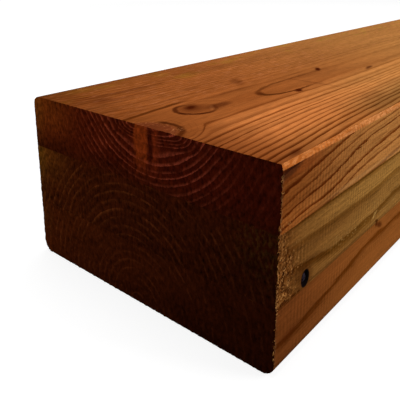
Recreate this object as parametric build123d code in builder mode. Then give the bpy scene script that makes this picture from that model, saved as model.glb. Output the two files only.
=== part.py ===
"""A short, wide post of glued laminated timber: three planed boards glued flat to flat.

It lies on its bottom board. X runs along the post, Y across it and Z up, with the origin under its middle.
The near side is at -Y and the cut end with the knot close to it is at -X. Sizes are in millimetres.
The outer boards are a little thinner than the middle one, because the glued block was planed last.
"""
import os

from build123d import *

# Driving sizes of the post
post_length = 2438.4
post_width = 177.8
bottom_board_thickness = 35.5
middle_board_thickness = 37.2
top_board_thickness = 32.1

# Long corners of the planed section: three are rounded over, and the near one on top has a narrow flat
near_top_flat_drop = 2.5
near_top_flat_inset = 1.0
far_top_radius = 5.5
near_bottom_radius = 7.0
far_bottom_radius = 6.5

# Black loose knot in the near face of the middle board, shrunk back below the surface
knot_from_end = 25.0
knot_gap_above_glue_line = 0.9
knot_along_post = 6.4
knot_height = 8.0
knot_depth = 1.4
knot_wall_slope = 0.6

# Places that follow from the sizes above
near_face = -post_width / 2
cut_end = -post_length / 2
lower_glue_line = bottom_board_thickness
upper_glue_line = lower_glue_line + middle_board_thickness
knot_centre_height = lower_glue_line + knot_gap_above_glue_line + knot_height / 2


def board_profile(bottom, thickness):
    """Draws a board's plain section, which stands on the given height, in the plane of the cut end."""
    with Locations((0, bottom)):
        Rectangle(post_width, thickness, align=(Align.CENTER, Align.MIN))


def lower_corners(board):
    """Gives a board's two long lower edges, the near one first."""
    return board.edges().filter_by(Axis.X).group_by(Axis.Z)[0].sort_by(Axis.Y)


def upper_corners(board):
    """Gives a board's two long upper edges, the near one first."""
    return board.edges().filter_by(Axis.X).group_by(Axis.Z)[-1].sort_by(Axis.Y)


end_plane = Plane(origin=(cut_end, 0, 0), x_dir=(0, 1, 0), z_dir=(1, 0, 0))

# Bottom board: both of its lower corners are rounded, and the post rests on the flat between them
with BuildPart() as lamination_bottom:
    with BuildSketch(end_plane):
        board_profile(0, bottom_board_thickness)
    extrude(amount=post_length)
    fillet(lower_corners(lamination_bottom)[0], near_bottom_radius)
    fillet(lower_corners(lamination_bottom)[-1], far_bottom_radius)

# Middle board: square corners against both glue lines, and the pocket that the black knot sits back in
near_side_plane = Plane(origin=(cut_end, near_face, 0), x_dir=(1, 0, 0), z_dir=(0, -1, 0))

with BuildPart() as lamination_middle:
    with BuildSketch(end_plane):
        board_profile(lower_glue_line, middle_board_thickness)
    extrude(amount=post_length)
    for depth, inset in ((0, 0), (knot_depth, knot_wall_slope)):
        with BuildSketch(near_side_plane.offset(-depth)):
            with Locations((knot_from_end, knot_centre_height)):
                Ellipse(knot_along_post / 2 - inset, knot_height / 2 - inset)
    loft(mode=Mode.SUBTRACT)

# Top board: the far corner is rounded and the near one is planed to a narrow flat
with BuildPart() as lamination_top:
    with BuildSketch(end_plane):
        board_profile(upper_glue_line, top_board_thickness)
    extrude(amount=post_length)
    fillet(upper_corners(lamination_top)[-1], far_top_radius)
    near_side = lamination_top.faces().sort_by(Axis.Y)[0]
    chamfer(upper_corners(lamination_top)[0], near_top_flat_drop, near_top_flat_inset, reference=near_side)

os.makedirs("parts", exist_ok=True)
for name, board in (
    ("lamination_bottom", lamination_bottom),
    ("lamination_middle", lamination_middle),
    ("lamination_top", lamination_top),
):
    board.part.label = name
    export_step(board.part, f"parts/{name}.step")
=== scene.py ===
"""Looks of the glulam post: three glued boards of planed softwood, with a rough sawn, weathered cut end.

Shapes are in metres and the recipes for wood in millimetres. In a recipe x runs along the post from the
cut end that shows, y across it with the near side negative, and z up from the floor.
"""

import math
import random

import bpy
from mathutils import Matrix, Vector


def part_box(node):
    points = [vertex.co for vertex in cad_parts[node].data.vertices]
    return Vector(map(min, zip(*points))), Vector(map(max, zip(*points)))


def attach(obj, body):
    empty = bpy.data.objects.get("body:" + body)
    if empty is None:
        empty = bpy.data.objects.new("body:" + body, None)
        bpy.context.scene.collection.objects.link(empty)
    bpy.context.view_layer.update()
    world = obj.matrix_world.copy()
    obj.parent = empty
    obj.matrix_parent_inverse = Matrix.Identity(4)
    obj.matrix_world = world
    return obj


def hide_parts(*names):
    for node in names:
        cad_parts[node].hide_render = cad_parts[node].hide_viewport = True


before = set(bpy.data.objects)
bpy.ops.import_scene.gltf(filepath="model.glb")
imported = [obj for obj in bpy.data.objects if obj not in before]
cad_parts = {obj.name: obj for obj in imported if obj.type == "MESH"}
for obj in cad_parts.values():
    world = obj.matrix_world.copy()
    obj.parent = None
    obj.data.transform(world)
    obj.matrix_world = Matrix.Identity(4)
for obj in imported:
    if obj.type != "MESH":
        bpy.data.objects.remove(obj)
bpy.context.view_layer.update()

MM = 0.001

# Boxes of the three boards, from the frame
board_boxes = {
    "bottom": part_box("lamination_bottom"),
    "middle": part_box("lamination_middle"),
    "top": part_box("lamination_top"),
}
cut_end = board_boxes["top"][0].x
near_face = board_boxes["top"][0].y
far_end = board_boxes["top"][1].x
post_top = board_boxes["top"][1].z

# Places in millimetres, for the recipes
post_length_mm = (far_end - cut_end) / MM
near_face_mm = near_face / MM
post_top_mm = post_top / MM
lower_glue_mm = board_boxes["middle"][0].z / MM
upper_glue_mm = board_boxes["top"][0].z / MM

# Long corners of the planed section
NEAR_TOP_FLAT_DROP = 2.5 * MM
NEAR_TOP_FLAT_INSET = 1.0 * MM
FAR_TOP_RADIUS = 5.5 * MM
NEAR_BOTTOM_RADIUS = 7.0 * MM
FAR_BOTTOM_RADIUS = 6.5 * MM
CORNER_FACETS = 6

# Black knot in the near face of the middle board, in millimetres: its distance from the cut end and its
# height, half its size, the depth of its pocket and the height of the plug in it
KNOT_MIDDLE = (25.0, 40.4)
KNOT_REACH = (3.2, 4.0)
KNOT_DEPTH = 1.4
KNOT_PLUG_HEIGHT = 0.9

# Fineness of the cut ends, and the distances from them at which an edge runs round a board
END_GRID_ACROSS = 0.75 * MM
END_GRID_UP = 0.8 * MM
FUZZ_START = 2.6 * MM
FUZZ_END = 32 * MM
FUZZ_CUTS = 58
ARRIS_CUTS = (0.6 * MM, 1.4 * MM, FUZZ_START)
PLAIN_CUT = 5 * MM

# Curled torn fibres: their shape, how they lie and crowd towards the arris, and the height up to which they
# are thick on the middle board
CURL_THICKNESS = 0.5 * MM
CURL_RADIUS = 1.6 * MM
CURL_TURN = math.radians(100)
CURL_STEPS = 5
CURL_TIP = 0.3
CURL_DEPTH = 0.45 * MM
CURL_TILT = 0.12
CURL_CROWDING = 2.2
CURL_FROM_END = 0.5 * MM
SMALLEST_CURL = 0.45
TORN_TOP = 61 * MM

FLOOR_SIZE = 40
FLOOR_GAP = 0.2 * MM

TOUCHING = 0.01 * MM
CUT_TOLERANCE = 0.001 * MM


class Amount:
    """A number that differs from point to point of the wood, written with plain arithmetic."""

    def __init__(self, recipe, socket):
        self.recipe = recipe
        self.socket = socket

    def work(self, operation, *others):
        node = self.recipe.add("ShaderNodeMath", operation=operation)
        for place, value in enumerate((self, *others)):
            self.recipe.feed(node.inputs[place], value)
        return Amount(self.recipe, node.outputs[0])

    def __add__(self, other):
        return self.work("ADD", other)

    def __sub__(self, other):
        return self.work("SUBTRACT", other)

    def __mul__(self, other):
        return self.work("MULTIPLY", other)

    def __truediv__(self, other):
        return self.work("DIVIDE", other)

    def __rsub__(self, other):
        return self * -1 + other

    def squared(self):
        return self * self

    def root(self):
        return self.work("SQRT")

    def size(self):
        return self.work("ABSOLUTE")

    def sine(self):
        return self.work("SINE")

    def at_least(self, other):
        return self.work("MAXIMUM", other)

    def at_most(self, other):
        return self.work("MINIMUM", other)

    def ramp(self, start, end, straight=False):
        """Runs from 0 at start to 1 at end, level outside, and smooth unless it is to be straight."""
        node = self.recipe.add("ShaderNodeMapRange")
        node.interpolation_type = "LINEAR" if straight else "SMOOTHSTEP"
        self.recipe.feed(node.inputs["Value"], self)
        self.recipe.feed(node.inputs["From Min"], start)
        self.recipe.feed(node.inputs["From Max"], end)
        return Amount(self.recipe, node.outputs["Result"])

    def hump(self, middle, reach):
        """Is 1 at the middle and falls smoothly to 0 at the reach on both sides."""
        return (self - middle).size().ramp(reach, 0)


class Recipe:
    """Builds a material's or a modifier's nodes from amounts, noises and mixes."""

    def __init__(self, tree):
        self.tree = tree
        self.nodes = tree.nodes

    def add(self, kind, **settings):
        node = self.nodes.new(kind)
        for name, value in settings.items():
            setattr(node, name, value)
        return node

    def feed(self, socket, value):
        if isinstance(value, Amount):
            self.tree.links.new(value.socket, socket)
        else:
            socket.default_value = value

    def read_place(self, place):
        """Reads the place of a point into x from the cut end, y and z, all in millimetres."""
        split = self.add("ShaderNodeSeparateXYZ")
        self.tree.links.new(place, split.inputs[0])
        x, y, z = (Amount(self, output) / MM for output in split.outputs)
        self.x, self.y, self.z = x - cut_end / MM, y, z

    def point(self, x, y, z):
        node = self.add("ShaderNodeCombineXYZ")
        for socket, value in zip(node.inputs, (x, y, z)):
            self.feed(socket, value)
        return Amount(self, node.outputs[0])

    def noise(self, x, y, z, detail=2.0, roughness=0.5):
        """Soft cloudy noise between 0 and 1, of about one grain to each unit of x, y and z."""
        node = self.add("ShaderNodeTexNoise")
        self.feed(node.inputs["Vector"], self.point(x, y, z))
        node.inputs["Scale"].default_value = 1
        node.inputs["Detail"].default_value = detail
        node.inputs["Roughness"].default_value = roughness
        return Amount(self, node.outputs[0])

    def chance(self, number, series=0.0):
        """A fixed throw of the dice for each whole number."""
        node = self.add("ShaderNodeTexWhiteNoise", noise_dimensions="2D")
        self.feed(node.inputs["Vector"], self.point(number.work("FLOOR"), series, 0.0))
        return Amount(self, node.outputs["Value"])

    def mix(self, share, first, second):
        """Goes from the first colour to the second as the share goes from 0 to 1."""
        node = self.add("ShaderNodeMix", data_type="RGBA")
        self.feed(node.inputs["Factor"], share)
        for name, colour in (("A", first), ("B", second)):
            socket = next(s for s in node.inputs if s.name == name and s.type == "RGBA")
            self.feed(socket, colour if isinstance(colour, Amount) else (*colour, 1.0))
        return Amount(self, next(s for s in node.outputs if s.type == "RGBA"))

    def shade(self, colour, strength):
        """Multiplies a colour by a strength, the same in red, green and blue."""
        node = self.add("ShaderNodeVectorMath", operation="SCALE")
        self.feed(node.inputs[0], colour)
        self.feed(node.inputs["Scale"], strength)
        return Amount(self, node.outputs[0])

    def tint(self, colour, other):
        """Multiplies two colours."""
        node = self.add("ShaderNodeVectorMath", operation="MULTIPLY")
        self.feed(node.inputs[0], colour)
        self.feed(node.inputs[1], other)
        return Amount(self, node.outputs[0])

    def toned(self, share, colour, other):
        """Multiplies two colours as far as the share says."""
        return self.mix(share, colour, self.tint(colour, other))

    def end_with(self, shader, kind="Material"):
        """Hands the finished shader over as the material or the world."""
        output = self.add(f"ShaderNodeOutput{kind}")
        self.tree.links.new(shader.outputs[0], output.inputs[0])

    def steps(self, value, marks):
        """Counts up by one at each mark, evenly in between, as rings are counted outwards from the pith."""
        node = self.add("ShaderNodeFloatCurve")
        node.mapping.use_clip = True
        curve = node.mapping.curves[0]
        span, count = marks[-1], len(marks)
        while len(curve.points) < count + 1:
            curve.points.new(0.5, 0.5)
        for number, mark in enumerate((0.0, *marks)):
            curve.points[number].location = (mark / span, number / count)
            curve.points[number].handle_type = "VECTOR"
        node.mapping.update()
        self.feed(node.inputs["Value"], value / span)
        return Amount(self, node.outputs[0]) * count


def oval_distance(across, up, middle, reach, turn=0.0):
    """Gives the distance from an oval's middle as a share of its reach."""
    a, b = across - middle[0], up - middle[1]
    c, s = math.cos(math.radians(turn)), math.sin(math.radians(turn))
    along = (a * c + b * s) / reach[0]
    beside = (b * c - a * s) / reach[1]
    return (along.squared() + beside.squared()).root()


def ring_marks(first, widths):
    """Adds up ring widths into the radii at which the rings end, in millimetres."""
    marks = [first]
    for width in widths:
        marks.append(marks[-1] + width)
    return marks


def rings_around(wood, pith_y, pith_z, taper, marks, push=0.0):
    """Counts the rings out from a pith line, a little wavy and ragged, and moved outwards by the push."""
    waver = wood.noise(wood.x / 45, wood.y / 14, wood.z / 14) - 0.5
    ragged = wood.noise(wood.x / 11, wood.y / 0.9, wood.z / 0.9, detail=2.0) - 0.5
    radius = ((wood.y - pith_y).squared() + (wood.z - pith_z).squared()).root() * taper
    return wood.steps(radius + waver * 1.4 + ragged * 0.9 - push, marks)


def latewood(wood, rings, start, full=0.92, weakest=0.45):
    """Gives the dark latewood line that ends each ring: it comes on softly and stops short."""
    part = rings.work("FRACT")
    luck = wood.chance(rings)
    line = part.ramp(luck * 0.14 + start, full) * part.ramp(1.0, 0.94)
    return line * (wood.chance(rings, 7.0) * (1 - weakest) + weakest)


def false_rings(rings):
    """Gives the weaker dark line that many rings show part of the way through."""
    return rings.work("FRACT").hump(0.42, 0.17)


def far_wander(wood, reach, series):
    """Lets the pith drift slowly in the long part of the post that is far from the cut end."""
    return (wood.noise(wood.x / 420, series, 0.0, detail=1.0) - 0.5) * wood.x.ramp(140, 600) * reach


# Radii at which the rings end in each board, in millimetres from its pith
top_marks = ring_marks(
    5.0,
    (5.2, 5.6, 5.0, 5.0, 5.2, 4.8, 6.5, 4.2, 3.6, 2.7, 3.7, 4.5, 3.4, 3.8, 4.1)
    + (4.1, 3.6, 5.2, 3.6, 2.4, 2.4, 2.7, 2.2, 3.5, 4.5, 4.2, 4.6, 4.2, 3.8, 4.4),
)
middle_marks = ring_marks(5.0, (5.0, 4.6, 5.2) * 5 + (5.1, 5.2, 5.3, 4.7, 5.6, 6.3, 5.4, 5.0))
bottom_marks = ring_marks(6.0, (5.2, 4.4, 4.8) * 5 + (6.4, 6.6, 5.6, 5.2, 5.0))


def top_board_rings(wood):
    """The top board's pith lies above the post. Its rings bend round two knots and open out low down."""
    x = wood.x
    pith_y = x.ramp(0, 30) * -2.2 + x.ramp(60, 150) * -2.9 + far_wander(wood, 26, 1.0) - 10.5
    pith_z = x.ramp(0, 28) * 2.8 + x.ramp(28, 150, straight=True) * -5.9 + far_wander(wood, 18, 4.0) + 132.2
    taper = x.ramp(0, 140, straight=True) * 0.166 + 1.0
    on_top = wood.z.ramp(95, 104)
    by_half_knot = oval_distance(x, wood.y, (0, -14), (24, 30)).ramp(1.1, 0.5) * 13
    by_eye_knot = oval_distance(x, wood.y, (42, -6.5), (22, 20)).ramp(1.2, 0.6) * 6
    widening = (94.8 - wood.z).at_least(0.0) * x.ramp(-30, 60) * 0.23
    push = (by_half_knot + by_eye_knot) * on_top + widening
    return rings_around(wood, pith_y, pith_z, taper, top_marks, push)


def middle_board_rings(wood):
    """The middle board's pith lies low, and rises a little beyond the cut end."""
    x = wood.x
    dip = x.ramp(12, 60) * (x.ramp(140, 100) * 0.6 + 0.4)
    pith_y = far_wander(wood, 22, 9.0) + 2.0
    pith_z = dip * 10.0 + far_wander(wood, 14, 12.0) + 10.7
    return rings_around(wood, pith_y, pith_z, dip * 0.055 + 1.0, middle_marks)


def bottom_board_rings(wood):
    """The bottom board's pith lies at the floor by the cut end, and rises a little further along."""
    x = wood.x
    pith_y = far_wander(wood, 22, 15.0)
    pith_z = x.ramp(20, 110) * 8.5 + far_wander(wood, 14, 18.0)
    return rings_around(wood, pith_y, pith_z, 1.0, bottom_marks)


# Knots and smudges: middle, reach, turn in degrees, depth of tone and softness of the edge. Their places are
# distances from the cut end and across the top face, or heights on the near side.
top_face_spots = (
    ((42.5, -2.5), (4.2, 2.8), 10, 1.00, 0.7),
    ((42.0, -4.0), (8.5, 6.5), 0, 0.50, 0.6),
    ((57.0, -11.4), (9.5, 3.8), 0, 0.70, 0.5),
    ((95.5, -13.0), (3.2, 2.6), -35, 0.55, 0.7),
    ((190.0, -3.0), (5.8, 2.0), 30, 1.00, 0.5),
    ((119.0, -27.5), (4.2, 2.3), 20, 1.00, 0.5),
    ((223.0, -30.0), (7.5, 1.8), 12, 0.80, 0.7),
    ((113.5, 17.5), (10.0, 4.0), 50, 0.44, 0.7),
    ((178.0, -9.0), (32.0, 9.0), 0, 0.24, 0.8),
    ((125.0, 69.0), (32.0, 9.0), 0, 0.20, 0.8),
    ((80.0, 27.0), (7.0, 2.5), 0, 0.20, 0.8),
    ((184.0, -5.5), (5.0, 1.6), 20, 0.20, 0.8),
    ((30.0, 50.0), (40.0, 8.0), -4, 0.18, 0.8),
    ((20.0, 47.0), (7.0, 4.0), -10, 0.40, 0.8),
    ((34.0, 56.0), (26.0, 1.1), -3, 0.45, 0.9),
    ((58.0, 53.5), (22.0, 0.8), 0, 0.40, 0.9),
    ((18.0, 61.0), (8.0, 1.0), -8, 0.60, 0.8),
    ((36.0, 43.0), (20.0, 0.8), 0, 0.45, 0.8),
    ((84.0, 4.0), (26.0, 1.4), -2, 0.30, 0.9),
    ((145.5, -25.0), (2.2, 20.0), 0, 0.26, 0.7),
    ((136.0, -68.0), (12.0, 6.0), 10, 0.22, 0.8),
    ((17.0, -85.0), (5.0, 1.8), 10, 0.60, 0.7),
)
yellow_patches = (
    ((28.0, 77.0), (14.0, 5.0)),
    ((46.0, 74.0), (8.0, 4.0)),
    ((104.0, 56.0), (9.0, 6.0)),
    ((95.0, 73.0), (8.0, 6.0)),
)
middle_side_spots = (
    ((25.0, 40.8), (6.4, 6.6), 0, 0.65, 0.6),
    ((20.0, 45.5), (7.0, 3.0), 20, 0.45, 0.8),
    ((58.0, 57.0), (48.0, 4.5), -2, 0.28, 0.7),
    ((36.0, 47.2), (12.0, 2.0), -18, 0.34, 0.7),
    ((116.5, 33.5), (4.5, 2.0), 0, 0.45, 0.6),
    ((110.5, 36.4), (2.4, 1.0), -20, 0.9, 0.5),
    ((70.0, 36.4), (56.0, 0.9), 0, 0.55, 0.8),
)
bottom_side_spots = (
    ((110.5, 34.4), (1.7, 1.5), 0, 0.90, 0.5),
    ((115.5, 32.0), (4.4, 1.7), -25, 0.80, 0.6),
    ((12.0, 17.6), (9.0, 2.6), 4, 0.40, 0.7),
)


def finish_wood(wood, colour, roughness, height):
    """Puts the colour, roughness and fine relief on the wood's shader. Dry wood like this has no gloss."""
    bump = wood.add("ShaderNodeBump")
    bump.inputs["Strength"].default_value = 1.0
    bump.inputs["Distance"].default_value = MM
    wood.feed(bump.inputs["Height"], height)
    shader = wood.add("ShaderNodeBsdfPrincipled")
    wood.feed(shader.inputs["Base Color"], colour)
    wood.feed(shader.inputs["Roughness"], roughness)
    shader.inputs["Specular IOR Level"].default_value = 0.0
    wood.tree.links.new(bump.outputs[0], shader.inputs["Normal"])
    wood.end_with(shader)


def start_material(name):
    """Starts a material whose recipe knows the place of each point."""
    material = bpy.data.materials.new(name)
    material.use_nodes = True
    material.node_tree.nodes.clear()
    recipe = Recipe(material.node_tree)
    recipe.read_place(recipe.add("ShaderNodeTexCoord").outputs["Object"])
    return material, recipe


def fibre_streaks(wood):
    """Fine pale and dark fibres that run along the grain, and broad soft bands, both about zero."""
    fine = wood.noise(wood.x / 22, wood.y / 0.8, wood.z / 0.8, detail=3.0)
    broad = wood.noise(wood.x / 120, wood.y / 9, wood.z / 9, detail=2.0)
    return fine - 0.5, broad - 0.5


def cutter_chatter(wood, pitch):
    """Upright marks that the planer's knives leave across the grain, uneven in strength."""
    sway = wood.noise(wood.x / 30, wood.y / 25, wood.z / 25) * 5
    wave = (wood.x * (2 * math.pi / pitch) + sway).sine()
    patch = wood.noise(wood.x / 18, wood.y / 12, wood.z / 12).ramp(0.35, 0.7)
    return wave * patch


def side_specks(wood):
    """Small light and dark specks of the rougher planed sides, about zero."""
    return wood.noise(wood.x / 1.7, wood.y / 1.1, wood.z / 0.9, detail=2.0, roughness=0.7) - 0.5


def painted_shade_by_the_end(wood, colour, tint, reach):
    """Deepens a colour towards the cut end: painted shade, standing in for the light that is dimmer there."""
    return wood.mix(wood.x.ramp(-10, reach), wood.tint(colour, tint), colour)


def stain(wood, colour, spots, across, up, mask, dark):
    """Lays dark spots over a colour. Each has a middle, reach, turn, depth of tone and softness."""
    for middle, reach, turn, depth, soft in spots:
        spot = oval_distance(across, up, middle, reach, turn).ramp(1 + soft, 1 - soft)
        colour = wood.mix(spot * mask * depth, colour, dark)
    return colour


def drawn_line(wood, colour, distance, width, strength, dark):
    """Lays a soft dark line where a distance is nought."""
    return wood.mix(distance.size().ramp(width, width * 0.2) * strength, colour, dark)


def torn_arris(wood, colour, strength):
    """Pale torn wood along the near upright edge of the cut end."""
    ragged = wood.noise(wood.x / 0.9, wood.y, wood.z / 1.2, detail=3.0)
    by_corner = wood.x.ramp(2.2, 0.2) * wood.y.ramp(near_face_mm + 1.4, near_face_mm + 0.4)
    edge = by_corner * ragged.ramp(0.40, 0.62) * strength
    return wood.mix(edge, colour, (0.40, 0.17, 0.06))


def near_strip(wood):
    """The strip of paler sapwood along the near edge of the top face, which is narrower by the cut end; that
    only the near, lit side is paler is painted light.
    """
    return (wood.y + wood.x.ramp(34, 14) * 7).ramp(-24, -42)


def top_face_wood(wood, line, rings):
    """Crisp pale sapwood on the near side, and quiet red heartwood beyond it, with their growth lines."""
    x, y = wood.x, wood.y
    # Further from the cut end the wood and its lines turn lighter and yellower: painted light, the sheen of
    # the top face seen at a glancing angle.
    sap = wood.mix(x.ramp(60, 200), (0.60, 0.193, 0.049), (0.49, 0.192, 0.051))
    sap_line = wood.mix(x.ramp(60, 260), (0.195, 0.040, 0.005), (0.29, 0.100, 0.018))
    heart = wood.mix(x.ramp(60, 420), (0.315, 0.088, 0.019), (0.40, 0.165, 0.043))
    heart_line = wood.mix(x.ramp(60, 420), (0.16, 0.036, 0.006), (0.27, 0.094, 0.019))
    off_knots = oval_distance(x, y, (20, -12), (48, 24)).ramp(0.8, 1.1)
    heart_border = rings.hump(6.9, 0.22) * y.ramp(-20, -26) * 0.9
    quiet_line = line * (off_knots * 0.5 + 0.15) + heart_border
    return wood.mix(near_strip(wood), wood.mix(quiet_line, heart, heart_line), wood.mix(line, sap, sap_line))


def top_face_edges(wood, colour):
    """Darker along both long edges of the top face, with painted shade over the far side by the cut end, and
    yellow clouds towards the far edge.
    """
    x, y = wood.x, wood.y
    # Painted shade: the far side darker by the cut end, where less light reaches it.
    colour = wood.toned(y.ramp(40, 85) * x.ramp(160, 0), colour, (0.62, 0.62, 0.50))
    clouds = wood.noise(x / 26, y / 13, 4.0).ramp(0.52, 0.68) * y.ramp(44, 66)
    colour = wood.toned(clouds * 0.6, colour, (0.95, 1.25, 0.8))
    colour = wood.toned(y.ramp(84, 87), colour, (0.55, 0.58, 0.50))
    near_edge = y.ramp(-60, -82) * (x.ramp(30, 5) * -0.6 + 1.0)
    colour = wood.toned(near_edge, colour, (0.68, 0.70, 0.66))
    return wood.toned(y.ramp(-58, -74) * x.ramp(80, 120), colour, (0.80, 0.88, 0.92))


def top_face_strokes(wood, colour):
    """Pale and dark strokes in the far half, yellow patches by its corner, and a fine mottle all over."""
    x, y = wood.x, wood.y
    strokes = wood.noise(x / 10, y / 1.3, 15.0, detail=2.0)
    far_half = y.ramp(2, 14)
    colour = wood.mix(strokes.ramp(0.56, 0.68) * far_half * 0.5, colour, (0.48, 0.165, 0.065))
    colour = wood.mix(strokes.ramp(0.42, 0.30) * far_half * 0.4, colour, (0.16, 0.038, 0.007))
    for middle, reach in yellow_patches:
        patch = oval_distance(x, y, middle, reach).ramp(1.6, 0.2)
        colour = wood.toned(patch * 0.6, colour, (1.05, 1.35, 0.85))
    mottle = wood.noise(x / 9, y / 3, 6.0, detail=3.0) - 0.5
    return wood.shade(colour, mottle * 0.5 + 1.0)


def top_face_colour(wood, line, rings):
    """The top face without its knots, with painted shade darkening it towards the cut end, most on the near
    strip.
    """
    colour = top_face_wood(wood, line, rings)
    colour = top_face_edges(wood, colour)
    colour = top_face_strokes(wood, colour)
    # Painted shade: the near strip darker by the cut end.
    colour = wood.toned(wood.x.ramp(60, -10) * near_strip(wood), colour, (0.58, 0.50, 0.46))
    # Painted shade over the whole face towards the cut end.
    return painted_shade_by_the_end(wood, colour, (0.66, 0.60, 0.54), 42)


def eye_knot(wood, colour, wavy_x, wavy_y, on_top):
    """The round knot near the cut end: a dusky disc, a rim that is weaker further along, and a crescent."""
    eye = oval_distance(wavy_x, wavy_y, (42, -6.5), (12.5, 10.0), -14)
    colour = wood.mix(eye.ramp(1.05, 0.8) * on_top * 0.45, colour, (0.20, 0.048, 0.010))
    rim_strength = wood.x.ramp(54, 34) * 0.75 + wood.y.ramp(-3, -9) * 0.25 + 0.12
    colour = drawn_line(wood, colour, eye - 1.0, 0.19, rim_strength * on_top, (0.065, 0.011, 0.002))
    crescent = oval_distance(wavy_x, wavy_y, (50.0, -11.5), (4.4, 1.3), 40).ramp(1.6, 0.4)
    return wood.mix(crescent * on_top * 0.6, colour, (0.46, 0.15, 0.04))


def half_knot(wood, colour, wavy_x, wavy_y, on_top):
    """The knot that the end cut goes through, with torn pale wood inside its dark near rim."""
    half = oval_distance(wavy_x, wavy_y, (-3, -15), (15.0, 17.0), 6)
    colour = wood.mix(half.ramp(1.05, 0.7) * on_top * 0.75, colour, (0.135, 0.027, 0.009))
    torn = wood.noise(wood.x / 2.2, wood.y / 1.1, 21.0, detail=3.0).ramp(0.52, 0.68)
    inside_rim = half.ramp(1.1, 0.9) * half.ramp(0.45, 0.7)
    colour = wood.mix(inside_rim * torn * on_top * 0.6, colour, (0.45, 0.14, 0.045))
    rim_strength = wood.y.ramp(-6, -11) * on_top * 0.9
    colour = drawn_line(wood, colour, half - 1.0, 0.17, rim_strength, (0.065, 0.012, 0.002))
    pale_bit = oval_distance(wavy_x, wavy_y, (7.5, -24.5), (3.2, 2.2)).ramp(1.5, 0.4) * torn
    return wood.mix(pale_bit * on_top * 0.9, colour, (0.62, 0.23, 0.08))


def flame_figure(wood, colour, wavy_x, wavy_y, on_top):
    """The long pointed figure on the top face, whose two dark sides fade along the post."""
    flame = oval_distance(wavy_x.at_most(125), wavy_y, (125, -15.5), (31, 10.5))
    near_part = wavy_y.ramp(-12, -17)
    fading = wood.x.ramp(205, 140) * (1 - near_part) * 0.68 + wood.x.ramp(165, 118) * near_part * 0.95
    return drawn_line(wood, colour, flame - 1.0, 0.16, fading * on_top, (0.085, 0.019, 0.003))


def top_face_knots(wood, colour, on_top):
    """The knots, figure, dark streak and smudges of the top face, all on wavering outlines."""
    x, y = wood.x, wood.y
    wavy_x = x + (wood.noise(x / 7, y / 5, 0.0) - 0.5) * 3
    wavy_y = y + (wood.noise(x / 7, y / 5, 9.0) - 0.5) * 2.4
    for draw in (eye_knot, half_knot, flame_figure):
        colour = draw(wood, colour, wavy_x, wavy_y, on_top)
    streak = (wavy_y + y) / 2 - x * 0.06 - 7.2
    streak_strength = x.ramp(62, 40) * on_top * 0.9
    colour = drawn_line(wood, colour, streak, 2.5, streak_strength, (0.085, 0.018, 0.002))
    return stain(wood, colour, top_face_spots, wavy_x, wavy_y, on_top, (0.060, 0.008, 0.0015))


def top_board_side_colour(wood, rings):
    """The sides of the top board, with thin growth lines, a dirty corner and a pale band by the glue line."""
    x, y, z = wood.x, wood.y, wood.z
    thin_line = latewood(wood, rings, start=0.54, full=0.86, weakest=0.75)
    faint_line = false_rings(rings) * wood.noise(x / 30, y, z / 6).ramp(0.35, 0.6) * 0.4
    colour = wood.mix(thin_line.at_least(faint_line), (0.65, 0.262, 0.066), (0.22, 0.050, 0.006))
    # Painted shade: the sides of the top board darker towards the cut end.
    colour = painted_shade_by_the_end(wood, colour, (0.47, 0.31, 0.22), 115)
    colour = wood.toned(z.ramp(83, 79) * x.ramp(44, 28), colour, (1.36, 1.42, 1.45))
    pale_band = z.hump(74.6, 2.2) * x.ramp(30, 70)
    colour = wood.mix(pale_band * 0.3, colour, (0.80, 0.42, 0.15))
    colour = wood.toned(z.ramp(94, 99) * x.ramp(50, 20), colour, (0.95, 0.78, 0.74))
    corner_dirt = oval_distance(x, z, (6, 100.2), (10, 2.2), 12).ramp(1.6, 0.5)
    colour = wood.mix(corner_dirt * 0.65, colour, (0.045, 0.016, 0.008))
    glue_strength = x.ramp(20, 60) * 0.4
    colour = drawn_line(wood, colour, z - upper_glue_mm, 0.6, glue_strength, (0.12, 0.035, 0.004))
    colour = torn_flecks(wood, colour, z.ramp(84, 76) * 0.7, 18)
    return torn_arris(wood, colour, 0.9)


def near_flat_painted_highlight(wood):
    """The narrow flat along the near upper corner, streaked with fibres and painted bright as the highlight
    it catches, redder by the cut end.
    """
    grains = wood.noise(wood.x / 4, wood.y / 1.5, wood.z / 1.5, detail=3.0).ramp(0.38, 0.66)
    by_end = wood.mix(grains, (0.62, 0.165, 0.028), (0.86, 0.29, 0.078))
    further = wood.mix(grains, (0.60, 0.200, 0.048), (0.86, 0.34, 0.115))
    return wood.mix(wood.x.ramp(25, 110), by_end, further)


def top_board_side_grain(name):
    """Planed wood of the top board: its top face, its sides and the flat between top and near side."""
    material, wood = start_material(name)
    y, z = wood.y, wood.z
    fine, broad = fibre_streaks(wood)
    flat_foot = post_top_mm - NEAR_TOP_FLAT_DROP / MM
    flat_rim = near_face_mm + NEAR_TOP_FLAT_INSET / MM
    on_top = z.ramp(flat_foot + 0.6, flat_foot + 1.7) * y.ramp(near_face_mm + 0.3, near_face_mm + 0.9)
    on_flat = y.ramp(flat_rim + 0.3, flat_rim - 0.1) * z.ramp(flat_foot - 0.2, flat_foot + 0.2)
    rings = top_board_rings(wood)
    line = latewood(wood, rings, start=0.36, full=0.84)
    top_colour = top_face_knots(wood, top_face_colour(wood, line, rings), on_top)
    colour = wood.mix(on_top, top_board_side_colour(wood, rings), top_colour)
    # The flat gets its painted highlight.
    colour = wood.mix(on_flat, colour, near_flat_painted_highlight(wood))
    chatter = cutter_chatter(wood, 2.95) * (1 - on_top * 0.85)
    specks = side_specks(wood) * (1 - on_top)
    colour = wood.shade(colour, broad * 0.6 + fine * 0.75 + specks * 0.9 + chatter * 0.20 + 1.0)
    finish_wood(wood, colour, fine * 0.2 + 0.6, fine * 0.10 - line * 0.08 + chatter * 0.03)
    return material


def on_near_side(wood):
    """Is 1 on the near side and 0 well away from it."""
    return wood.y.ramp(-60, -80)


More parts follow.
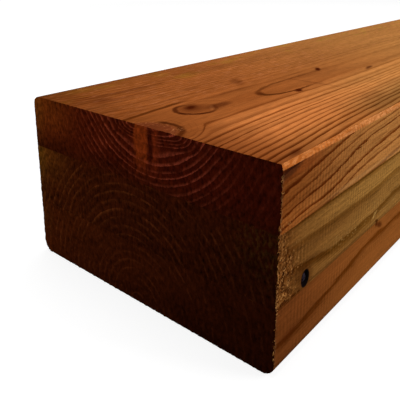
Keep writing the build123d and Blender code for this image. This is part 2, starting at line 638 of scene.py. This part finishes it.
def torn_side(wood, colour, on_near):
    """Torn wood beside the cut end of the middle board: painted shade towards the cut end and in the carved
    hollows, pale tufts and raised flecks.
    """
    # Painted shade: the near side darker towards the cut end.
    colour = wood.mix(wood.x.ramp(24, 2) * on_near * 0.55, colour, (0.18, 0.046, 0.007))
    # Painted shade in the hollows, where the carving goes deepest.
    colour = wood.mix(torn_fuzz(wood, 0.53, 0.42) * 0.9, colour, (0.060, 0.014, 0.003))
    colour = wood.mix(torn_fuzz(wood, 0.55, 0.66) * 0.45, colour, (0.46, 0.20, 0.055))
    return torn_flecks(wood, colour, wood.z.ramp(34, 40) * (wood.z.ramp(68, 58) * 0.7 + 0.3), 28)


def middle_side_marks(wood, colour, on_near):
    """Clusters of pale flecks, stains, the black knot, one bright fibre and the dark upper glue line."""
    x, y, z = wood.x, wood.y, wood.z
    flecks = wood.noise(x / 2.4, y, z / 1.1, detail=2.0).ramp(0.56, 0.68)
    clusters = flecks * wood.noise(x / 16, 7.0, z / 8).ramp(0.45, 0.6)
    pale_flecks = clusters * x.ramp(40, 75) * (z - 46).size().ramp(9, 3) * 0.7
    colour = wood.mix(pale_flecks, colour, (0.58, 0.32, 0.09))
    colour = stain(wood, colour, middle_side_spots, x, z, on_near, (0.085, 0.020, 0.003))
    colour = black_knot(wood, colour, on_near)
    bright_fibre = oval_distance(x, z, (106, 42), (3.2, 1.0), 30).ramp(1.8, 0.3)
    colour = wood.mix(bright_fibre * on_near * 0.8, colour, (0.66, 0.36, 0.10))
    return drawn_line(wood, colour, z - upper_glue_mm + 0.5, 0.9, 0.55, (0.10, 0.034, 0.004))


def middle_board_side_grain(name):
    """Planed wood of the middle board: olive tan, paler in its upper part and torn by the cut end."""
    material, wood = start_material(name)
    line = latewood(wood, middle_board_rings(wood), start=0.48, full=0.86, weakest=0.7)
    fine, broad = fibre_streaks(wood)
    on_near = on_near_side(wood)
    colour = wood.mix(line, (0.42, 0.195, 0.043), (0.22, 0.084, 0.011))
    lower_part = wood.tint(colour, (0.94, 0.92, 0.93))
    upper_part = wood.tint(colour, (1.18, 1.20, 1.22))
    colour = wood.mix(wood.z.ramp(56, 62), lower_part, upper_part)
    # Painted shade: the middle board darker towards the cut end.
    colour = painted_shade_by_the_end(wood, colour, (0.58, 0.48, 0.44), 110)
    colour = torn_side(wood, colour, on_near)
    colour = middle_side_marks(wood, colour, on_near)
    colour = torn_arris(wood, colour, 1.0)
    chatter = cutter_chatter(wood, 3.0)
    colour = wood.shade(colour, broad * 0.7 + fine * 1.2 + side_specks(wood) * 1.2 + chatter * 0.17 + 1.0)
    finish_wood(wood, colour, fine * 0.2 + 0.75, fine * 0.25 - line * 0.1 + chatter * 0.05)
    return material


def torn_flecks(wood, colour, strength, reach):
    """Fine pale flecks of raised fibre beside the cut end, which thin out along the board."""
    x, y, z = wood.x, wood.y, wood.z
    patches = wood.noise(x / 7, y, z / 5, detail=1.0) * 0.16 - x.ramp(0, reach) * 0.07
    specks = wood.noise(x / 0.8, y, z / 1.7, detail=2.0, roughness=0.6)
    flecks = (specks + patches).ramp(0.67, 0.74)
    near = x.ramp(reach, reach * 0.6) * y.ramp(near_face_mm + 2.9, near_face_mm + 0.9)
    return wood.mix(flecks * near * strength * 0.9, colour, (0.74, 0.34, 0.10))


def torn_grain(wood):
    """The lumpy surface that torn fibres leave beside the cut end."""
    return wood.noise(wood.x / 2.0, wood.y / 2.0, wood.z / 2.6, detail=3.0, roughness=0.6)


def torn_share(wood):
    """Torn wood reaches well along the middle board low down, and keeps to the arris higher up."""
    return wood.x.ramp(27, 5) * (wood.z.ramp(66, 58) + wood.x.ramp(11, 3)).at_most(1.0)


def torn_fuzz(wood, start, end):
    """The fuzz of torn fibres beside the cut end, patchy and fading along the board."""
    return torn_grain(wood).ramp(start, end) * torn_share(wood) * wood.y.ramp(-70, -85)


def knot_distance(wood):
    """The distance from the middle of the black knot as a share of its reach."""
    return oval_distance(wood.x, wood.z, KNOT_MIDDLE, KNOT_REACH)


def black_knot(wood, colour, on_near):
    """The loose knot: a black gap all round and a dull violet grey plug."""
    away = knot_distance(wood)
    colour = wood.mix(away.ramp(1.28, 1.08) * on_near, colour, (0.008, 0.005, 0.005))
    cracks = wood.noise(wood.x / 1.1, wood.z / 1.1, 2.0, detail=2.0).ramp(0.36, 0.6) * 0.8 + 0.2
    return wood.mix(away.ramp(0.68, 0.50) * cracks * on_near, colour, (0.040, 0.028, 0.038))


def bottom_board_side_grain(name):
    """Planed wood of the bottom board: reddish brown, with the end of the reddish knot at the glue line."""
    material, wood = start_material(name)
    x, z = wood.x, wood.z
    line = latewood(wood, bottom_board_rings(wood), start=0.80, weakest=0.7)
    fine, broad = fibre_streaks(wood)
    on_near = on_near_side(wood)
    colour = wood.mix(line, (0.385, 0.120, 0.023), (0.20, 0.050, 0.005))
    # Painted shade: the bottom board darker towards the cut end.
    colour = painted_shade_by_the_end(wood, colour, (0.54, 0.46, 0.50), 120)
    colour = wood.toned(z.ramp(20, 10), colour, (1.06, 1.08, 1.12))
    colour = stain(wood, colour, bottom_side_spots, x, z, on_near, (0.10, 0.018, 0.003))
    colour = torn_arris(wood, colour, 0.7)
    colour = drawn_line(wood, colour, z - lower_glue_mm, 0.7, 0.5, (0.10, 0.028, 0.003))
    chatter = cutter_chatter(wood, 3.1)
    colour = wood.shade(colour, broad * 0.6 + fine * 0.7 + side_specks(wood) * 0.7 + chatter * 0.13 + 1.0)
    finish_wood(wood, colour, fine * 0.2 + 0.65, fine * 0.15 - line * 0.08 + chatter * 0.06)
    return material


def pale_fibre(name):
    """The fresh pale wood of the torn fibres."""
    material, wood = start_material(name)
    luck = wood.noise(wood.x / 3, wood.y / 3, wood.z / 3)
    colour = wood.mix(luck.ramp(0.35, 0.65), (0.32, 0.105, 0.022), (0.72, 0.32, 0.090))
    finish_wood(wood, colour, 0.8, luck * 0.1)
    return material


def saw_marks(wood):
    """Short upright scratches of the saw, about zero."""
    return wood.noise(wood.y / 1.6, wood.z / 4.2, 3.0, detail=3.0, roughness=0.6) - 0.5


def sawn_pits(wood):
    """Small torn pits and burrs all over the cut, about zero."""
    return wood.noise(wood.y / 2.4, wood.z / 3.0, 11.0, detail=3.0, roughness=0.65) - 0.5


def end_ridges(wood, rings, clear):
    """Ring ridges on the cut end, broken up, and plain only where the clearness says."""
    broken = wood.noise(wood.y / 8, wood.z / 6, 8.0).ramp(0.28, 0.50)
    return latewood(wood, rings, start=0.45) * clear * broken


def top_end_clearness(wood):
    """Where the rings show on the top board's end: about its middle, and most in its upper part."""
    heart = (wood.y.ramp(52, 20) * 0.85) * wood.y.ramp(-70, -40)
    beside_spike = wood.y.ramp(-8, -14) * wood.y.ramp(-58, -40) * 0.35
    return heart * (wood.z.ramp(70, 96) * 0.45 + 0.5 + beside_spike) + 0.1


def lower_end_clearness(wood):
    """Where the rings show on the other two ends: in patches, and less towards the near side."""
    patches = wood.noise(wood.y / 16, wood.z / 12, 31.0).ramp(0.38, 0.6) * 0.8 + 0.2
    return patches * (wood.y.ramp(-75, -25) * 0.4 + 0.6)


def end_grain(name, count_rings, clearness, dark, pale, roughness, features=None):
    """Rough cut end: dark, matt, with ring ridges that catch the light and upright saw marks, lighter and
    yellower towards its far top, partly paler wood and partly painted light, and darker towards its near foot
    by painted shade.
    """
    material, wood = start_material(name)
    y, z = wood.y, wood.z
    ridges = end_ridges(wood, count_rings(wood), clearness(wood))
    marks, pits = saw_marks(wood), sawn_pits(wood)
    blotch = wood.noise(y / 22, z / 14, 5.0) - 0.5
    colour = wood.mix(ridges, dark, pale)
    if features:
        colour = wood.mix(wood.x.ramp(200, 100), colour, features(wood, colour))
    colour = wood.toned(y.ramp(76, 88) * z.ramp(8, 30) * 0.8, colour, (1.10, 1.50, 1.45))
    # Lighter and yellower towards the far top corner: partly the wood's paler tone, partly painted light.
    far_top_painted_light = (y * 0.75 + z * 0.5).ramp(0, 110)
    colour = wood.toned(far_top_painted_light, colour, (1.5, 1.6, 1.2))
    # Painted shade towards the near foot.
    near_foot_painted_shade = (y * -0.6 - z * 0.5).ramp(-30, 50)
    colour = wood.toned(near_foot_painted_shade, colour, (0.45, 0.45, 0.45))
    colour = wood.shade(colour, (marks + pits) * roughness + blotch * 0.8 + 1.0)
    finish_wood(wood, colour, marks * 0.1 + 0.9, ridges * 0.2 + marks * 0.3)
    return material


def ragged_height(wood):
    """Height above the floor, made ragged for a tone with a torn edge."""
    return wood.z + (wood.noise(wood.y / 2.5, wood.z / 2.0, 17.0) - 0.5) * 14


def spike_knot(wood, colour):
    """The branch that the end cut shows lengthwise, red brown with a dark line down its middle."""
    y, z = wood.y, wood.z
    colour = wood.toned(z.ramp(90, 74) * y.ramp(0, 12), colour, (0.62, 0.62, 0.62))
    colour = wood.mix(y.ramp(36, 84) * z.ramp(70, 100) * 0.8, colour, (0.21, 0.040, 0.006))
    sway = (wood.noise(z / 9, 2.0, 0.0) - 0.5) * 4 + (wood.noise(y / 3, z / 5, 14.0) - 0.5) * 5
    by_glue = ragged_height(wood).ramp(84, 72)
    colour = wood.mix(by_glue * 0.55, colour, (0.074, 0.0125, 0.003))
    foot = z.ramp(74, 96)
    colour = wood.mix((y + sway + 5.0).size().ramp(7.0, 2.5) * foot * 0.9, colour, (0.38, 0.054, 0.009))
    colour = wood.mix((y + sway + 14.5).size().ramp(5.0, 1.0) * foot * 0.7, colour, (0.28, 0.034, 0.008))
    core = (y + sway * 0.5 + 11.8).size().ramp(2.2, 0.6) * z.ramp(78, 92)
    return wood.mix(core * 0.85, colour, (0.055, 0.006, 0.002))


def yellow_corners(wood, colour):
    """The paler, yellower wood at both upper corners of the middle board's end, and its dark upper edge."""
    y, z = wood.y, wood.z
    specks = wood.noise(y / 1.6, z / 3, 41.0, detail=2.0).ramp(0.44, 0.62)
    by_glue = ragged_height(wood).ramp(60, 74) * y.ramp(60, 40)
    colour = wood.mix(by_glue * 0.5, colour, (0.085, 0.0125, 0.003))
    colour = wood.mix(y.ramp(50, 88) * z.ramp(44, 70) * 0.55, colour, (0.215, 0.060, 0.008))
    return wood.mix(y.ramp(-56, -84) * z.ramp(36, 62) * specks * 0.6, colour, (0.13, 0.050, 0.008))


def deselect_all():
    """Leaves the edit mode if need be and selects nothing."""
    if bpy.context.object and bpy.context.object.mode != "OBJECT":
        bpy.ops.object.mode_set(mode="OBJECT")
    bpy.ops.object.select_all(action="DESELECT")


def pick_alone(piece):
    """Selects one piece alone and makes it the active one."""
    deselect_all()
    piece.select_set(True)
    bpy.context.view_layer.objects.active = piece


def edit_all(piece):
    """Opens a piece for editing with everything on it selected."""
    pick_alone(piece)
    bpy.ops.object.mode_set(mode="EDIT")
    bpy.ops.mesh.select_mode(type="EDGE")
    bpy.ops.mesh.select_all(action="SELECT")


def finish_editing():
    """Turns all faces outwards and leaves the edit mode."""
    bpy.ops.mesh.select_all(action="SELECT")
    bpy.ops.mesh.normals_make_consistent(inside=False)
    bpy.ops.object.mode_set(mode="OBJECT")


def pull_out_board(name, box):
    """Draws a board's cut end as a fine grid and pulls it out to the board's full length."""
    deselect_all()
    low, high = box
    size = high - low
    bpy.ops.mesh.primitive_grid_add(
        x_subdivisions=round(size.z / END_GRID_UP),
        y_subdivisions=round(size.y / END_GRID_ACROSS),
        size=1,
        location=(low.x, (low.y + high.y) / 2, (low.z + high.z) / 2),
        rotation=(0, math.radians(-90), 0),
    )
    piece = bpy.context.object
    piece.name = name
    piece.scale = (size.z, size.y, 1)
    bpy.ops.object.transform_apply(location=True, rotation=True, scale=True)
    edit_all(piece)
    bpy.ops.mesh.extrude_region_move(TRANSFORM_OT_translate={"value": (size.x, 0, 0)})
    finish_editing()
    return piece


def trim(piece, point, normal):
    """Cuts off what lies beyond a plane and closes the cut."""
    edit_all(piece)
    bpy.ops.mesh.bisect(
        plane_co=point,
        plane_no=normal,
        use_fill=True,
        clear_outer=True,
        threshold=CUT_TOLERANCE,
    )
    bpy.ops.object.mode_set(mode="OBJECT")


def round_long_corner(piece, side, y, z, radius, up):
    """Trims a long corner round with narrow tangent planes.

    Side is -1 on the near side and 1 on the far one, and up is -1 at the foot and 1 at the top.
    """
    for step in range(CORNER_FACETS):
        angle = math.radians(90) * (step + 0.5) / CORNER_FACETS
        normal = Vector((0, side * math.cos(angle), up * math.sin(angle)))
        middle = Vector((0, y - side * radius, z - up * radius))
        trim(piece, middle + normal * radius, normal)


def cut_across(piece, distances):
    """Merges doubles, then runs an edge right round the board at each distance from both of its ends."""
    edit_all(piece)
    bpy.ops.mesh.remove_doubles(threshold=TOUCHING)
    for distance in distances:
        for place in (cut_end + distance, far_end - distance):
            bpy.ops.mesh.select_all(action="SELECT")
            bpy.ops.mesh.bisect(plane_co=(place, 0, 0), plane_no=(1, 0, 0), threshold=CUT_TOLERANCE)
    bpy.ops.object.mode_set(mode="OBJECT")


def divide_near_side(piece, start, end, cuts):
    """Divides the near side finely between two distances from the cut end."""
    edit_all(piece)
    bpy.ops.mesh.select_all(action="DESELECT")
    bpy.ops.object.mode_set(mode="OBJECT")
    places = [point.co for point in piece.data.vertices]
    span = end - start
    for edge in piece.data.edges:
        a, b = (places[number] for number in edge.vertices)
        on_side = max(a.y, b.y) < near_face + TOUCHING
        in_span = abs(abs(a.x - b.x) - span) < TOUCHING and abs(min(a.x, b.x) - cut_end - start) < TOUCHING
        edge.select = on_side and in_span
    bpy.ops.object.mode_set(mode="EDIT")
    bpy.ops.mesh.subdivide(number_cuts=cuts)
    bpy.ops.object.mode_set(mode="OBJECT")


def dress_board(piece, side_grain, cut_grain):
    """Gives the two cut ends their own finish and the rest the side grain."""
    piece.data.materials.append(side_grain)
    piece.data.materials.append(cut_grain)
    for face in piece.data.polygons:
        face.material_index = 1 if abs(face.normal.x) > 0.7 else 0


def carve(piece, name, offsets):
    """Moves the points of a piece by the offsets, in millimetres, that a recipe works out for each place."""
    tree = bpy.data.node_groups.new(name, "GeometryNodeTree")
    for way in ("INPUT", "OUTPUT"):
        tree.interface.new_socket("Geometry", in_out=way, socket_type="NodeSocketGeometry")
    recipe = Recipe(tree)
    recipe.read_place(recipe.add("GeometryNodeInputPosition").outputs[0])
    move = recipe.add("GeometryNodeSetPosition")
    recipe.feed(move.inputs["Offset"], recipe.point(*(offset * MM for offset in offsets(recipe))))
    tree.links.new(recipe.add("NodeGroupInput").outputs[0], move.inputs["Geometry"])
    tree.links.new(move.outputs[0], recipe.add("NodeGroupOutput").inputs[0])
    modifier = piece.modifiers.new(name, "NODES")
    modifier.node_group = tree
    pick_alone(piece)
    bpy.ops.object.modifier_apply(modifier=name)


def rough_end_offsets(count_rings, clearness, tearing, fuzz=False):
    """Gives the recipe of a board's rough sawn ends and torn near edge, and of its fuzz and knot if asked."""

    def offsets(wood):
        from_end = wood.x.at_most(post_length_mm - wood.x)
        inward = wood.x.ramp(0.6 * post_length_mm, 0.4 * post_length_mm) * 2 - 1
        on_end = from_end.ramp(0.3, 0.1)
        on_near = wood.y.ramp(near_face_mm + 0.4, near_face_mm + 0.1)
        ridges = end_ridges(wood, count_rings(wood), clearness(wood))
        depth = (0.55 - ridges * 0.45 - saw_marks(wood) * 0.9 - sawn_pits(wood) * 1.1).at_least(0.0)
        bite = wood.noise(wood.x, wood.y, wood.z / 1.3, detail=2.0).ramp(0.40, 0.70) * tearing
        back = on_end * (depth + bite * on_near) * inward
        chip = wood.noise(wood.x / 1.4, 3.0, wood.z / 1.5, detail=2.0).ramp(0.35, 0.65)
        side = on_near * from_end.ramp(2.4, 0.0) * chip * tearing
        if fuzz:
            side = side + torn_share(wood) * on_near * (0.72 - torn_grain(wood)) * 2.0
            away = knot_distance(wood)
            pocket = away.ramp(1.02, 0.84) * KNOT_DEPTH - away.ramp(0.62, 0.35) * KNOT_PLUG_HEIGHT
            side = side.at_least(0.0) + pocket * on_near
        return back, side, 0.0

    return offsets


def model_curl():
    """Spins a small three-sided section into one curled torn fibre that narrows to its tip."""
    deselect_all()
    bpy.ops.mesh.primitive_circle_add(vertices=3, radius=CURL_THICKNESS / 2, fill_type="NGON")
    curl = bpy.context.object
    edit_all(curl)
    bpy.ops.mesh.spin(steps=CURL_STEPS, angle=CURL_TURN, center=(CURL_RADIUS, 0, 0), axis=(0, 1, 0))
    bpy.ops.transform.resize(value=(CURL_TIP, CURL_TIP, CURL_TIP))
    finish_editing()
    return curl


def add_torn_fibres(board, count, reach, heights, seed, fibre_material):
    """Strews curled fibres over the near side by the cut end, most at the arris, and joins them on."""
    luck = random.Random(seed)
    curl = model_curl()
    curl.data.materials.append(fibre_material)
    copies = []
    for _ in range(count):
        copy = curl.copy()
        copy.data = curl.data.copy()
        bpy.context.scene.collection.objects.link(copy)
        away = luck.random() ** CURL_CROWDING * reach + CURL_FROM_END
        copy.location = (cut_end + away, near_face + CURL_DEPTH, luck.uniform(*heights))
        copy.rotation_euler = (
            luck.gauss(0, CURL_TILT),
            luck.uniform(0, 2 * math.pi),
            luck.gauss(0, CURL_TILT),
        )
        size = luck.uniform(SMALLEST_CURL, 1.0)
        copy.scale = (size, size, size)
        copies.append(copy)
    bpy.data.objects.remove(curl)
    deselect_all()
    for copy in copies:
        copy.select_set(True)
    bpy.context.view_layer.objects.active = copies[0]
    bpy.ops.object.join()
    bpy.ops.object.transform_apply(location=True, rotation=True, scale=True)
    for tip in copies[0].data.vertices:
        tip.co = (max(tip.co.x, cut_end), max(tip.co.y, near_face), tip.co.z)
    board.select_set(True)
    bpy.context.view_layer.objects.active = board
    bpy.ops.object.join()


def give_wood(piece, label, side_grain, count_rings, clearness, tearing, fuzz=False, **cut_looks):
    """Gives a board its side grain, and the looks and the rough relief of its cut ends."""
    planed_grain = side_grain(f"{label} planed grain")
    cut_grain = end_grain(f"{label} cut end", count_rings, clearness, **cut_looks)
    dress_board(piece, planed_grain, cut_grain)
    carve(piece, f"{label} rough ends", rough_end_offsets(count_rings, clearness, tearing, fuzz))


def finish_board(piece, node):
    """Shades the piece and lets it ride on the post."""
    edit_all(piece)
    finish_editing()
    bpy.ops.object.shade_smooth_by_angle(angle=math.radians(45))
    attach(piece, "root")
    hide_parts(node)


torn_fibre = pale_fibre("Torn pale fibre")

# Bottom board, with both lower corners round
bottom_board = pull_out_board("bottom_board", board_boxes["bottom"])
round_long_corner(bottom_board, -1, near_face, 0.0, NEAR_BOTTOM_RADIUS, -1)
round_long_corner(bottom_board, 1, -near_face, 0.0, FAR_BOTTOM_RADIUS, -1)
cut_across(bottom_board, (*ARRIS_CUTS, PLAIN_CUT))
give_wood(
    bottom_board,
    "Bottom board",
    bottom_board_side_grain,
    bottom_board_rings,
    lower_end_clearness,
    tearing=0.5,
    dark=(0.092, 0.016, 0.0035),
    pale=(0.165, 0.034, 0.009),
    roughness=1.5,
)
bottom_heights = (9 * MM, board_boxes["bottom"][1].z)
add_torn_fibres(bottom_board, 26, 3 * MM, bottom_heights, 3, torn_fibre)
finish_board(bottom_board, "lamination_bottom")

# Middle board, square all round, with the fuzz and the black knot in its near side
middle_board = pull_out_board("middle_board", board_boxes["middle"])
cut_across(middle_board, (*ARRIS_CUTS, FUZZ_END))
divide_near_side(middle_board, FUZZ_START, FUZZ_END, FUZZ_CUTS)
give_wood(
    middle_board,
    "Middle board",
    middle_board_side_grain,
    middle_board_rings,
    lower_end_clearness,
    tearing=0.9,
    fuzz=True,
    dark=(0.073, 0.0128, 0.003),
    pale=(0.175, 0.039, 0.010),
    roughness=2.0,
    features=yellow_corners,
)
middle_foot = board_boxes["middle"][0].z + CURL_RADIUS
middle_top = board_boxes["middle"][1].z - CURL_RADIUS
add_torn_fibres(middle_board, 128, 22 * MM, (middle_foot, TORN_TOP), 5, torn_fibre)
add_torn_fibres(middle_board, 24, 7 * MM, (TORN_TOP, middle_top), 6, torn_fibre)
finish_board(middle_board, "lamination_middle")

# Top board, with its far corner round and a narrow slanting flat on its near one
top_board = pull_out_board("top_board", board_boxes["top"])
round_long_corner(top_board, 1, -near_face, post_top, FAR_TOP_RADIUS, 1)
flat_normal = Vector((0, -NEAR_TOP_FLAT_DROP, NEAR_TOP_FLAT_INSET)).normalized()
trim(top_board, (0, near_face, post_top - NEAR_TOP_FLAT_DROP), flat_normal)
cut_across(top_board, (*ARRIS_CUTS, PLAIN_CUT))
give_wood(
    top_board,
    "Top board",
    top_board_side_grain,
    top_board_rings,
    top_end_clearness,
    tearing=0.5,
    dark=(0.102, 0.011, 0.003),
    pale=(0.43, 0.070, 0.034),
    roughness=1.9,
    features=spike_knot,
)
top_heights = (board_boxes["top"][0].z, post_top - 4 * MM)
add_torn_fibres(top_board, 26, 3 * MM, top_heights, 8, torn_fibre)
finish_board(top_board, "lamination_top")


def pale_floor():
    """A plain pale floor that reads as white paper to the camera and still takes the post's shadow."""
    deselect_all()
    bpy.ops.mesh.primitive_plane_add(size=FLOOR_SIZE, location=(0, 0, -FLOOR_GAP))
    floor = bpy.context.object
    floor.name = "studio_floor"
    material, paint = start_material("Pale studio floor")
    far_off = ((paint.x - post_length_mm / 2).squared() + paint.y.squared()).root().ramp(1500, 2600)
    matt = paint.add("ShaderNodeBsdfDiffuse")
    matt.inputs["Color"].default_value = (0.26, 0.26, 0.26, 1)
    glow = paint.add("ShaderNodeEmission")
    paint.feed(glow.inputs["Strength"], seen_directly(paint) * (far_off * 0.14 + 0.86))
    both = paint.add("ShaderNodeAddShader")
    paint.tree.links.new(matt.outputs[0], both.inputs[0])
    paint.tree.links.new(glow.outputs[0], both.inputs[1])
    paint.end_with(both)
    floor.data.materials.append(material)


def seen_directly(paint):
    """Is 1 for what the camera, a reflection or a clear material sees, and 0 for light that bounces."""
    path = paint.add("ShaderNodeLightPath")
    rays = [Amount(paint, path.outputs[f"Is {kind} Ray"]) for kind in ("Camera", "Glossy", "Transmission")]
    return (rays[0] + rays[1] + rays[2]).at_most(1.0)


def white_world(ambient):
    """White all round to the eye, and only a low even light on the post."""
    world = bpy.data.worlds.new("White studio")
    world.use_nodes = True
    world.node_tree.nodes.clear()
    paint = Recipe(world.node_tree)
    background = paint.add("ShaderNodeBackground")
    background.inputs["Color"].default_value = (1, 1, 1, 1)
    paint.feed(background.inputs["Strength"], seen_directly(paint) * (1 - ambient) + ambient)
    paint.end_with(background, "World")
    bpy.context.scene.world = world


def soft_lamp(name, place, aim, size, watts):
    """A square soft lamp that points at a place on the post."""
    data = bpy.data.lights.new(name, "AREA")
    data.shape = "SQUARE"
    data.size = size
    data.energy = watts
    lamp = bpy.data.objects.new(name, data)
    lamp.visible_camera = False
    lamp.location = place
    lamp.rotation_euler = (Vector(aim) - Vector(place)).to_track_quat("-Z", "Y").to_euler()
    bpy.context.scene.collection.objects.link(lamp)


pale_floor()
white_world(ambient=0.12)
soft_lamp("Overhead softbox", (-0.7, 0.3, 2.2), aim=(-0.7, 0, 0), size=1.6, watts=36)
soft_lamp("Right side softbox", (-0.1, -1.6, 1.3), aim=(-0.9, 0, 0.05), size=1.0, watts=27)
soft_lamp("Left fill", (-2.2, 1.2, 0.5), aim=(-1.2, 0.05, 0.05), size=0.6, watts=3)

# Camera at the photograph's place
camera_data = bpy.data.cameras.new("Camera")
camera_data.sensor_width = 36
camera_data.lens = 47.67
camera_data.shift_y = -0.225
camera_data.clip_start = 0.01
camera = bpy.data.objects.new("Camera", camera_data)
camera.location = (-1.39396, -0.19197, 0.18398)
camera.rotation_euler = tuple(math.radians(angle) for angle in (74.366, -0.136, -49.88))
bpy.context.scene.collection.objects.link(camera)
bpy.context.scene.camera = camera

bpy.context.scene.view_settings.view_transform = "Standard"
